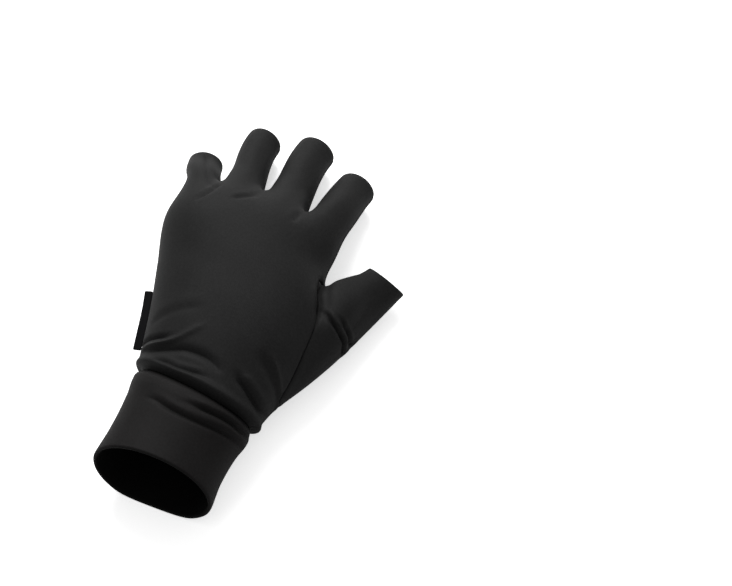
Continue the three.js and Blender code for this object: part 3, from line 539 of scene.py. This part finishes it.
def add_thumb(net, size, ring):
    """The thumb: a strand for each point of the hole's edge, a cubic that leaves the hand outwards and
    arrives on the oval of the thumb's cut end."""
    values = np.concatenate(net.parts)
    start, turn = values[ring, :3], values[ring, 3]
    ahead = directed(THUMB_END["heading"], THUMB_END["climb"])
    roll = np.radians(THUMB_END["roll"])
    level = unit(np.array([ahead[1], -ahead[0], 0]))
    across = level * np.cos(roll) - np.cross(level, ahead) * np.sin(roll)
    upward = np.cross(across, ahead)
    middle = np.array([size.thumb_reach, THUMB_END["along"] * size.hand_length,
                       THUMB_END["lift"] * size.hand_depth])
    angle = (np.pi - 2 * np.pi * np.arange(len(ring)) / len(ring))[:, None]
    end = (middle + across * size.thumb_width / 2 * np.cos(angle)
           + upward * size.thumb_depth / 2 * np.sin(angle))
    inner_y = lerp(start[:, 1], start.mean(0)[1], HOLE_SHARE)
    inner = unit(tube_point(size, lerp(turn, HOLE_TURN, HOLE_SHARE), inner_y) - start)
    inner = inner - ahead * np.minimum(inner @ ahead, 0)[:, None]
    part = section(size, at_of(size, start[:, 1]))
    axis = np.stack([(part["little"] + part["thumb"]) / 2, start[:, 1], part["side"]], -1)
    outward = unit((start - axis) * (1, 0, 1))
    gap = np.linalg.norm(end - start, axis=1, keepdims=True)
    inner = inner * np.minimum(gap / (THUMB_NEAR * size.thumb_width), 1)
    straight = unit(end - start)
    crotch = np.maximum(-np.cos(angle), 0) ** CROTCH_POWER
    leaving = unit(inner + ahead * THUMB_AHEAD + outward * THUMB_OUTWARD)
    leaving = unit(lerp(leaving, straight, CROTCH_PULL * crotch)) * THUMB_LEAVING * gap
    arriving = unit(straight + ahead * THUMB_ARRIVING * (1 - crotch)) * gap
    share = (np.arange(1, THUMB_FACES + 1) / THUMB_FACES)[:, None, None]
    skin_points = hermite(start[None], leaving[None], end[None], arriving[None], share)
    round_place = (np.arange(len(ring)) / len(ring))[None, :]
    numbers = net.add_points(skin_points, round_place, share[..., 0] * gap[:, 0], 1.0, thumb=True)
    grid = np.concatenate([ring[None], numbers])
    grid = np.concatenate([grid, grid[:, :1]], 1)
    wound = np.arange(len(ring) + 1)[None, :] / len(ring) * THUMB_CLOTH * size.palm_width
    rise = np.concatenate([np.zeros((1, len(ring))), share[..., 0] * gap[:, 0]])
    cloth = np.stack(np.broadcast_arrays(wound, np.concatenate([rise, rise[:, :1]], 1)), -1)
    net.add_grid(grid, cloth, np.full((1, len(ring)), THUMB_TUBE))


def nearest(points, marks):
    """Distance of each point from the nearest of the marks."""
    near = np.full(len(points), np.inf)
    for mark in marks:
        near = np.minimum(near, ((points - mark) ** 2).sum(1))
    return np.sqrt(near)


def soften(net, joins, rounds, reach, most):
    """Evens out the skin at its joins: each round moves a point towards the mean of its neighbours, by a
    share that falls off as a bell curve of its distance from the joins."""
    share = (most * hump(nearest(net.points, net.points[joins]), reach))[:, None]
    pairs = np.concatenate([net.faces[:, [k, (k + 1) % 4]] for k in range(4)])
    pairs = np.unique(np.sort(pairs, 1), axis=0)
    count = np.bincount(pairs.ravel(), minlength=len(net.points))[:, None]
    for _ in range(rounds):
        sums = np.zeros_like(net.points)
        np.add.at(sums, pairs[:, 0], net.points[pairs[:, 1]])
        np.add.at(sums, pairs[:, 1], net.points[pairs[:, 0]])
        moved = lerp(net.points, sums / np.maximum(count, 1), share)
        net.points = np.where(count > 0, moved, net.points)


def on_skin(net, places, girth, length, thumb):
    """A smooth path over the skin through places given as turn and up. Each place is the mean of the net's
    nearest points, weighted by how near they are."""
    own = np.flatnonzero((net.thumb > 0) == thumb)
    spots = np.stack([net.turn[own] * girth, net.up[own]], -1)
    found = []
    for place in places:
        away = np.linalg.norm(spots - np.array(place) * (girth, length), axis=1)
        near = np.argsort(away)[:NEAR_POINTS]
        weight = 1 / (away[near] + NEAR_WEIGHT)
        found.append((net.points[own[near]] * weight[:, None]).sum(0) / weight.sum())
    rows = dict(zip("nxyz", np.column_stack([np.arange(len(found)), found]).T))
    steps = np.linspace(0, len(found) - 1, PATH_STEPS * (len(found) - 1) + 1)
    return np.stack([along(rows, "n", name, steps) for name in "xyz"], -1)


def from_fold(path, points, normals):
    """Signed distance over the skin from a fold's path, and how far along the path the nearest place is."""
    nearest_step = np.linalg.norm(points[:, None] - path[None], axis=2).argmin(1)
    steps = np.gradient(path, axis=0)
    run = unit(steps)[nearest_step]
    to = points - path[nearest_step]
    ahead = (to * run).sum(1)
    to = to - run * ahead[:, None]
    high = (to * normals).sum(1)
    flat = to - normals * high[:, None]
    side = np.where((np.cross(run, flat) * normals).sum(1) < 0, -1, 1)
    away = np.hypot(np.linalg.norm(flat, axis=1), np.maximum(np.abs(high) - FOLD_WIDTH, 0))
    share = (nearest_step + ahead / np.linalg.norm(steps, axis=1)[nearest_step]) / (len(path) - 1)
    return away * side, share


def folds_at(net, folds, size, girth, length, thumb):
    """Push along the normal, and how much painted shade each point has from lying in a crease. Each fold is a
    valley with a ridge beside it, both bell curves of the distance from its path, fading out at its ends. A
    fold of negative depth is a ridge, without a crease or painted shade."""
    push, creased = np.zeros((2, net.count))
    for depth, width, ridge, crease, places in folds:
        path = on_skin(net, places, girth, length, thumb)
        away, share = from_fold(path, net.points, net.skin_normals)
        faded = ease(share, 0, FOLD_FADE) * (1 - ease(share, 1 - FOLD_FADE, 1))
        reach = width * FOLD_WIDTH
        valley = hump(away, VALLEY_WIDTH * reach) + crease * hump(away, CREASE_WIDTH)
        push += depth * size.fold_depth * faded * (ridge * hump(away - RIDGE_PLACE * reach, reach) - valley)
        # Painted shade along the valley's crease
        if depth > 0:
            creased += crease * faded * hump(away, (SHADE_WIDTH + width) * CREASE_WIDTH)
    return push, creased


def bells(rows, away, width):
    """A sum of bell curves of the distance from a line, each with its height, place and width."""
    return sum(high * hump(away - place * width, spread * width) for high, place, spread in rows)


@lru_cache(maxsize=1)
def skin(size):
    """The finished net: folded, drawn in along the wrist seam and the thumb's seam, with a swelling on both
    sides of each, and pressed flat on the floor, with its normals and the painted shade of its creases and
    seams."""
    net = Net()
    tube = add_tube(net, size)
    webs = add_webs(net, size, tube)
    for finger in range(FINGERS):
        add_finger(net, size, tube, webs, finger)
    ring = hole_ring(tube)
    add_thumb(net, size, ring)
    net.close()
    joins = np.unique(np.concatenate([tube[-1], *webs, ring]))
    soften(net, joins, SOFT_ROUNDS, SOFT_REACH * size.palm_width, SOFT_MOST)
    net.skin_normals = net.normals()
    girth, thumb_girth = GIRTH * size.palm_width, THUMB_GIRTH * size.palm_width
    push, creased = folds_at(net, FOLDS, size, girth, size.cuff_length, False)
    thumb_push, thumb_painted_shade = folds_at(net, THUMB_FOLDS, size, thumb_girth, size.thumb_width, True)
    from_ring = nearest(net.points, net.points[ring])
    wrist = np.where(net.thumb > 0, 0, size.fold_depth * bells(WRIST_BELLS, net.seam, FOLD_WIDTH))
    push += thumb_push + SEAM_PULL * bells(SEAM_BELLS, from_ring, SEAM_WIDTH) + wrist
    # Painted shade along the wrist seam and round the thumb's seam, added to that of the creases
    wrist_shade = WRIST_SHADE * hump(net.seam, WRIST_SHADE_WIDTH * FOLD_WIDTH)
    sewn = wrist_shade + THUMB_SHADE * hump(from_ring, SEAM_WIDTH)
    net.creased = np.clip(creased + thumb_painted_shade + sewn, 0, 1)
    net.points = net.points + net.skin_normals * push[:, None]
    z = net.points[:, 2]
    rounded = (z + FLOOR_ROUND) ** 2 / (4 * FLOOR_ROUND)
    net.points[:, 2] = np.where(z < -FLOOR_ROUND, 0, np.where(z < FLOOR_ROUND, rounded, z))
    net.skin_normals = net.normals()
    net.tube = tube
    return net


# Panels

def boundary(net, own):
    """The edges of a panel that only one of its faces has: from, to, the face and its corner, and whether
    the edge is free or sewn to another panel."""
    def keys(faces, first, second):
        """A number for each edge, from its first point's number and its second's."""
        return np.concatenate([faces[:, (k + first) % 4] * net.count + faces[:, (k + second) % 4]
                               for k in range(4)])

    own_faces = net.faces[own]
    turned = keys(own_faces, 1, 0)
    edge = ~np.isin(turned, keys(own_faces, 0, 1))
    free = ~np.isin(turned, keys(net.faces, 0, 1))
    face = np.tile(np.arange(len(own_faces)), 4)[edge]
    corner = np.repeat(np.arange(4), len(own_faces))[edge]
    return own_faces[face, corner], own_faces[face, (corner + 1) % 4], face, corner, free[edge]


def add_piece(context, name, points, polygons, cloth, inside, creased, material, node, slot):
    """Puts a piece into the scene: smooth-shaded faces, the cloth's own map in millimetres, how far inside
    each point is and how much painted shade it has, one level of subdivision, and its material."""
    mesh = bpy.data.meshes.new(name)
    mesh.from_pydata(points.tolist(), [], polygons)
    mesh.polygons.foreach_set("use_smooth", np.ones(len(polygons), bool))
    mesh.uv_layers.new(name="cloth").uv.foreach_set("vector", (np.concatenate(cloth) / MM).ravel())
    for layer, values in (("inside", inside), ("creased", creased)):
        mesh.attributes.new(layer, "FLOAT", "POINT").data.foreach_set("value", values)
    mesh.materials.append(material)
    mesh.validate()
    mesh.update()
    piece = bpy.data.objects.new(name, mesh)
    context.scene.collection.objects.link(piece)
    rounding = piece.modifiers.new("rounding", "SUBSURF")
    rounding.levels = rounding.render_levels = 1
    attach(piece, "root")
    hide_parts(node)
    return piece


def panel_piece(context, name, panel, thickness, material, node, slot):
    """A panel of the net as a closed wall: its faces, the same faces a cloth's thickness inside along the
    normals, and a rim between the two all round. Free edges are rolled round. Sewn edges are drawn back by
    half a seam's gap, and the middles of their rims meet across it."""
    size = sizes_of(context)
    net = skin(size)
    own = np.flatnonzero(net.panels == panel)
    faces, cloth = net.faces[own], net.cloth[own]
    start, end, face, corner, free = boundary(net, own)
    run = unit(net.points[end] - net.points[start])
    drawn, rolled = np.zeros_like(net.points), np.zeros_like(net.points)
    for sums, chosen in ((drawn, ~free), (rolled, free)):
        for side in (start, end):
            inward = np.cross(net.skin_normals[side[chosen]], run[chosen])
            np.add.at(sums, side[chosen], inward)
    used = np.unique(faces)
    number = np.full(net.count, -1)
    number[used] = np.arange(len(used))
    outer = net.points[used] + unit(drawn[used]) * size.seam_gap / 2
    inner = outer - net.skin_normals[used] * thickness
    on_edge = np.isin(used, np.concatenate([start, end]))
    reach = unit(rolled[used]) * RIM_ROLL * thickness + unit(drawn[used]) * SEAM_TONGUE * size.seam_gap
    rim = ((outer + inner) / 2 - reach)[on_edge]
    count = len(used)
    rim_number = np.full(count, -1)
    rim_number[on_edge] = 2 * count + np.arange(on_edge.sum())
    points = np.concatenate([outer, inner, rim])
    inside = np.concatenate([np.zeros(count), np.ones(count), np.full(len(rim), 0.5)])
    # Painted shade: that of the creases and seams on the outer wall, none on the inner wall, and a dark line
    # along the rims
    creased = np.concatenate([net.creased[used], np.zeros(count), np.full(len(rim), RIM_SHADE)])
    outer_faces = number[faces]
    polygons = outer_faces.tolist() + (outer_faces[:, ::-1] + count).tolist()
    maps = [cloth.reshape(-1, 2), cloth[:, ::-1].reshape(-1, 2)]
    a, b = number[start], number[end]
    at_a, at_b = cloth[face, corner], cloth[face, (corner + 1) % 4]
    ra, rb = rim_number[a], rim_number[b]
    edge_map = np.stack([at_b, at_a, at_a, at_b], 1).reshape(-1, 2)
    for loops in ((b, a, ra, rb), (rb, ra, a + count, b + count)):
        polygons += np.stack(loops, 1).tolist()
        maps.append(edge_map)
    return add_piece(context, name, points, polygons, maps, inside, creased, material, node, slot)


def label_piece(context, name, material, node, slot):
    """A strip of tape folded double: its section, a flat U lying on its side, is carried along the side
    seam."""
    size = sizes_of(context)
    net = skin(size)
    side = net.tube[:, 0]
    at, line, normal = net.points[side, 1], net.points[side], net.skin_normals[side]
    share = np.linspace(0, 1, LABEL_FACES + 1)
    y = LABEL_START * size.hand_length + size.label_length * share
    base = np.stack([np.interp(y, at, line[:, k]) for k in range(3)], -1)
    out = np.stack([np.interp(y, at, normal[:, k]) for k in range(3)], -1)
    out[:, 2] = 0
    out = unit(out)
    droop = LABEL_WAVE * size.label_width * np.sin(2 * np.pi * share)
    angle = np.pi * (np.arange(LABEL_FOLD + 1) / LABEL_FOLD - 0.5)
    half = size.label_cloth / 2
    flat = np.linspace(0, 1, LABEL_FLAT + 1)[:-1] * (size.label_width - half)
    reach = np.concatenate([flat, size.label_width + half * (np.cos(angle) - 1), flat[::-1]])
    rise = np.concatenate([np.full(len(flat), -half), half * np.sin(angle), np.full(len(flat), half)])
    bend = droop[:, None] * (reach / size.label_width)[None, :] ** 2
    points = base[:, None] + out[:, None] * (size.seam_gap + reach)[None, :, None]
    points[..., 2] = base[:, None, 2] + rise + bend
    rows, columns = points.shape[:2]
    numbers = np.arange(rows * columns).reshape(rows, columns)
    numbers = np.concatenate([numbers, numbers[:, :1]], 1)
    quads = corners(numbers).reshape(-1, 4)[:, ::-1]
    wound = np.concatenate([reach, reach[:1]])
    map_grid = np.stack(np.broadcast_arrays(y[:, None], wound[None, :]), -1)
    maps = corners(map_grid).reshape(-1, 4, 2)[:, ::-1]
    caps = [numbers[0, :columns].tolist(), numbers[-1, :columns][::-1].tolist()]
    cap_maps = [map_grid[0, :columns], map_grid[-1, :columns][::-1]]
    return add_piece(context, name, points.reshape(-1, 3), quads.tolist() + caps,
                     [maps.reshape(-1, 2), *cap_maps], *np.zeros((2, rows * columns)), material, node, slot)


# Materials

def add(tree, kind, inputs=None, **settings):
    """Adds a node: settings go on the node, and inputs are values or other nodes' sockets, by name or
    place."""
    made = tree.nodes.new(kind)
    for name, value in settings.items():
        setattr(made, name, value)
    for key, value in (inputs or {}).items():
        if isinstance(value, bpy.types.NodeSocket):
            tree.links.new(value, made.inputs[key])
        else:
            made.inputs[key].default_value = value
    return made


def maths(tree, operation, *values):
    """The result of a math node."""
    return add(tree, "ShaderNodeMath", dict(enumerate(values)), operation=operation).outputs[0]


def spread(tree, value, low, high, to_low, to_high):
    """A value from low to high spread evenly over to_low to to_high, and held at these beyond."""
    return add(tree, "ShaderNodeMapRange", {"Value": value, "From Min": low, "From Max": high,
                                            "To Min": to_low, "To Max": to_high}).outputs[0]


def noise(tree, scale, detail):
    """Noise from 0 to 1 over the object's own coordinates, in metres."""
    where = add(tree, "ShaderNodeTexCoord").outputs["Object"]
    return add(tree, "ShaderNodeTexNoise", {"Vector": where, "Scale": scale, "Detail": detail}).outputs["Fac"]


def cloth_map(tree):
    """The cloth's own map, in millimetres, as its two parts."""
    place = add(tree, "ShaderNodeUVMap", uv_map="cloth").outputs["UV"]
    return add(tree, "ShaderNodeSeparateXYZ", {"Vector": place}).outputs


def fresh_material(name):
    """A material without nodes, and its node tree."""
    material = bpy.data.materials.new(name)
    material.use_nodes = True
    material.node_tree.nodes.clear()
    return material, material.node_tree


def finish_material(tree, **inputs):
    """Shades the surface with the given inputs, underscores standing for spaces."""
    named = {name.replace("_", " "): value for name, value in inputs.items()}
    shader = add(tree, "ShaderNodeBsdfPrincipled", named)
    add(tree, "ShaderNodeOutputMaterial", {"Surface": shader.outputs[0]})


def knitted_polyester(name, colour):
    """Fine polyester and elastane jersey, piece-dyed and brushed: matt, with a faint sheen where it turns
    away, small wales that only show up close, and painted shade in its creases, along its seams and rims, and
    on its inside."""
    material, tree = fresh_material(name)
    split = cloth_map(tree)
    across = maths(tree, "MULTIPLY", split["X"], 1 / WALE)
    up = maths(tree, "MULTIPLY", split["Y"], 1 / COURSE)
    zigzag = maths(tree, "PINGPONG", across, 1.0)
    legs = maths(tree, "MULTIPLY_ADD", zigzag, 0.5, up)
    loops = maths(tree, "SINE", maths(tree, "MULTIPLY", legs, 2 * np.pi))
    ribs = maths(tree, "COSINE", maths(tree, "MULTIPLY", across, 2 * np.pi))
    knit = maths(tree, "MULTIPLY_ADD", loops, 0.5, ribs)
    fuzz, cloudy = noise(tree, 900.0, 2.0), noise(tree, 45.0, 3.0)
    inside, creased = (add(tree, "ShaderNodeAttribute", attribute_name=layer).outputs["Fac"]
                       for layer in ("inside", "creased"))
    tone = spread(tree, cloudy, 0.3, 0.7, 0.9, 1.1)
    # Painted shade: darker on the inner walls and rims, and in creases and along seams
    for part in (spread(tree, fuzz, 0.3, 0.7, 0.85, 1.15), spread(tree, inside, 0.2, 1.0, 1.0, INSIDE_SHADE_TONE),
                 spread(tree, creased, 0.0, 1.0, 1.0, CREASE_SHADE_TONE)):
        tone = maths(tree, "MULTIPLY", tone, part)
    base = add(tree, "ShaderNodeVectorMath", {0: colour, "Scale": tone}, operation="SCALE").outputs[0]
    height = maths(tree, "MULTIPLY_ADD", fuzz, 0.8, knit)
    bump = add(tree, "ShaderNodeBump", {"Height": height, "Strength": 0.25, "Distance": KNIT_DEPTH * MM})
    finish_material(tree, Base_Color=base, Normal=bump.outputs[0], Roughness=0.6, IOR=1.5,
                    Specular_IOR_Level=0.04, Sheen_Weight=0.012, Sheen_Roughness=0.4)
    return material


def woven_tape(name, colour):
    """Woven polyester tape, smooth, tight and dark, with fine ribs across it."""
    material, tree = fresh_material(name)
    rib = maths(tree, "SINE", maths(tree, "MULTIPLY", cloth_map(tree)["X"], 2 * np.pi / TAPE_RIB))
    tone = spread(tree, noise(tree, 1200.0, 2.0), 0.3, 0.7, 0.85, 1.15)
    base = add(tree, "ShaderNodeVectorMath", {0: colour, "Scale": tone}, operation="SCALE").outputs[0]
    bump = add(tree, "ShaderNodeBump", {"Height": rib, "Strength": 0.15, "Distance": TAPE_DEPTH * MM})
    finish_material(tree, Base_Color=base, Normal=bump.outputs[0], Roughness=0.65, IOR=1.5,
                    Specular_IOR_Level=0.02)
    return material


def painted_floor(name, colour):
    """Matt paint on a smooth board, which glows for the camera alone, as an evenly lit studio floor."""
    material, tree = fresh_material(name)
    seen = add(tree, "ShaderNodeLightPath").outputs["Is Camera Ray"]
    finish_material(tree, Base_Color=(*colour, 1), Roughness=0.9, Specular_IOR_Level=0.1,
                    Emission_Color=(1, 1, 1, 1), Emission_Strength=maths(tree, "MULTIPLY", seen, FLOOR_GLOW))
    return material


# The add-on

def length(name, description, default):
    """A size in the panel, its default given in millimetres."""
    return bpy.props.FloatProperty(name=name, description=description, default=default * MM, min=0.0001,
                                   unit="LENGTH", precision=4)


def colour(name, description, code):
    """A colour in the panel, its default given as an sRGB hex code."""
    return bpy.props.FloatVectorProperty(name=name, description=description, default=linear(code),
                                         min=0, max=1, size=3, subtype="COLOR")


class GloveSizes(bpy.types.PropertyGroup):
    """Sizes of the glove."""
    palm_width: length("Palm width", "Across the four finger roots", 100)
    hand_depth: length("Hand depth", "Floor to the back of the hand", 50)
    hand_length: length("Hand length", "Wrist seam to the web beside the middle finger", 133)
    heel_length: length("Heel length", "Wrist seam to the origin under the palm", 58)
    cuff_length: length("Cuff length", "Wrist seam to the opening", 49)
    cloth: length("Cloth", "Thickness of the jersey of the hand", 1.2)
    cuff_cloth: length("Cuff cloth", "Thickness of the cuff's jersey, folded double", 2)
    seam_gap: length("Seam gap", "Left between panels that are sewn edge to edge", 0.3)
    stall_length: length("Finger length", "Middle finger from its web to its cut end", 48)
    stall_width: length("Finger width", "Across a finger's cut end", 22)
    stall_depth: length("Finger depth", "Height of a finger's cut end", 19)
    thumb_width: length("Thumb width", "Across the thumb's cut end", 23)
    thumb_depth: length("Thumb depth", "Height of the thumb's cut end", 15)
    thumb_reach: length("Thumb reach", "Centre line of the hand to the thumb's cut end", 61)
    fold_depth: length("Fold depth", "Depth of the deepest fold, at the wrist", 3)
    label_length: length("Label length", "Along the side seam", 36)
    label_width: length("Label width", "How far it stands out of the seam", 4.4)
    label_cloth: length("Label cloth", "Thickness of the folded tape", 1)


class GloveColours(bpy.types.PropertyGroup):
    """Colours of the glove and its floor."""
    jersey: colour("Jersey", "Hand and thumb", "1b1b1b")
    cuff: colour("Cuff", "Wrist cuff", "151414")
    tape: colour("Tape", "Side label", "0b0b0c")
    floor: colour("Floor", "Floor under the glove", "f4f4f4")


Sizes = namedtuple("Sizes", list(GloveSizes.__annotations__))


def sizes_of(context):
    """The panel's sizes as plain numbers, in metres."""
    group = context.scene.glove_sizes
    return Sizes(*(getattr(group, name) for name in Sizes._fields))


def colour_of(context, name):
    return tuple(getattr(context.scene.glove_colours, name))


class GLOVE_OT_hand(bpy.types.Operator):
    """Make the back of the hand, the palm and the thumb stall of fine jersey"""
    bl_idname = "glove.hand"
    bl_label = "Hand panels"

    def execute(self, context):
        size = sizes_of(context)
        jersey = knitted_polyester("brushed_polyester_jersey", colour_of(context, "jersey"))
        for name, panel, node in (("back_of_hand", BACK, "back_panel"), ("palm_of_hand", PALM, "palm_panel"),
                                  ("thumb_stall", THUMB_TUBE, "thumb_panel")):
            panel_piece(context, name, panel, size.cloth, jersey, node, "jersey")
        return {"FINISHED"}


class GLOVE_OT_cuff(bpy.types.Operator):
    """Make the wrist cuff of jersey folded double"""
    bl_idname = "glove.cuff"
    bl_label = "Wrist cuff"

    def execute(self, context):
        size = sizes_of(context)
        jersey = knitted_polyester("folded_polyester_jersey", colour_of(context, "cuff"))
        panel_piece(context, "wrist_cuff", CUFF, size.cuff_cloth, jersey, "cuff", "cuff_jersey")
        return {"FINISHED"}


class GLOVE_OT_label(bpy.types.Operator):
    """Make the bare folded label in the side seam"""
    bl_idname = "glove.label"
    bl_label = "Side label"

    def execute(self, context):
        label_piece(context, "side_label", woven_tape("woven_polyester_tape", colour_of(context, "tape")),
                    "label_tab", "label_tape")
        return {"FINISHED"}


def aim(thing, place, target):
    """Puts a camera or lamp at a place and turns it to look at the target, level with the floor."""
    thing.location = place
    thing.rotation_euler = (Vector(target) - Vector(place)).to_track_quat("-Z", "Y").to_euler()


def add_lamp(context, name, azimuth, elevation, distance, width, power):
    """A soft square lamp on a sphere round the glove."""
    lamp = bpy.data.objects.new(name, bpy.data.lights.new(name, "AREA"))
    lamp.data.size, lamp.data.energy = width, power
    back = -directed(azimuth, 0) * np.cos(np.radians(elevation)) + (0, 0, np.sin(np.radians(elevation)))
    aim(lamp, Vector(back * distance), (0, 0.02, 0.02))
    context.scene.collection.objects.link(lamp)


class GLOVE_OT_stage(bpy.types.Operator):
    """Make the pale floor, the soft lamps and the camera"""
    bl_idname = "glove.stage"
    bl_label = "Floor, lamps and camera"

    def execute(self, context):
        scene = context.scene
        camera = bpy.data.objects.new("camera", bpy.data.cameras.new("camera"))
        camera.data.lens, camera.data.sensor_width = CAMERA_LENS, CAMERA_SENSOR
        a, e = np.radians(CAMERA_AZIMUTH), np.radians(CAMERA_ELEVATION)
        back = np.array([np.sin(a) * np.cos(e), -np.cos(a) * np.cos(e), np.sin(e)])
        aim(camera, Vector(np.array(CAMERA_TARGET) + back * CAMERA_DISTANCE), CAMERA_TARGET)
        scene.collection.objects.link(camera)
        scene.camera = camera
        mesh = bpy.data.meshes.new("floor")
        signs = ((-1, -1), (1, -1), (1, 1), (-1, 1))
        mesh.from_pydata([(x * FLOOR_HALF, y * FLOOR_HALF, 0) for x, y in signs], [], [(0, 1, 2, 3)])
        mesh.materials.append(painted_floor("matt_painted_board", colour_of(context, "floor")))
        floor = bpy.data.objects.new("floor", mesh)
        scene.collection.objects.link(floor)
        add_lamp(context, "key_lamp", azimuth=150, elevation=40, distance=1.4, width=0.9, power=27)
        world = bpy.data.worlds.new("studio")
        world.use_nodes = True
        background = world.node_tree.nodes["Background"].inputs
        background["Color"].default_value = (1, 1, 1, 1)
        background["Strength"].default_value = STUDIO_LIGHT
        scene.world = world
        scene.view_settings.view_transform = "Standard"
        return {"FINISHED"}


class GLOVE_PT_panel(bpy.types.Panel):
    """Lists the glove's sizes, colours and pieces."""
    bl_idname = "GLOVE_PT_panel"
    bl_label = "Glove"
    bl_space_type = "VIEW_3D"
    bl_region_type = "UI"
    bl_category = "Glove"

    def draw(self, context):
        for group in (context.scene.glove_sizes, context.scene.glove_colours):
            for name in group.__annotations__:
                self.layout.prop(group, name)
        for operator in OPERATORS:
            self.layout.operator(operator.bl_idname)


OPERATORS = (GLOVE_OT_hand, GLOVE_OT_cuff, GLOVE_OT_label, GLOVE_OT_stage)
CLASSES = (GloveSizes, GloveColours, *OPERATORS, GLOVE_PT_panel)


def register():
    for made in CLASSES:
        bpy.utils.register_class(made)
    bpy.types.Scene.glove_sizes = bpy.props.PointerProperty(type=GloveSizes)
    bpy.types.Scene.glove_colours = bpy.props.PointerProperty(type=GloveColours)


def unregister():
    del bpy.types.Scene.glove_sizes, bpy.types.Scene.glove_colours
    for made in reversed(CLASSES):
        bpy.utils.unregister_class(made)


def main():
    register()
    bpy.ops.glove.stage()
    bpy.ops.glove.hand()
    bpy.ops.glove.cuff()
    bpy.ops.glove.label()


if __name__ == "__main__":
    main()
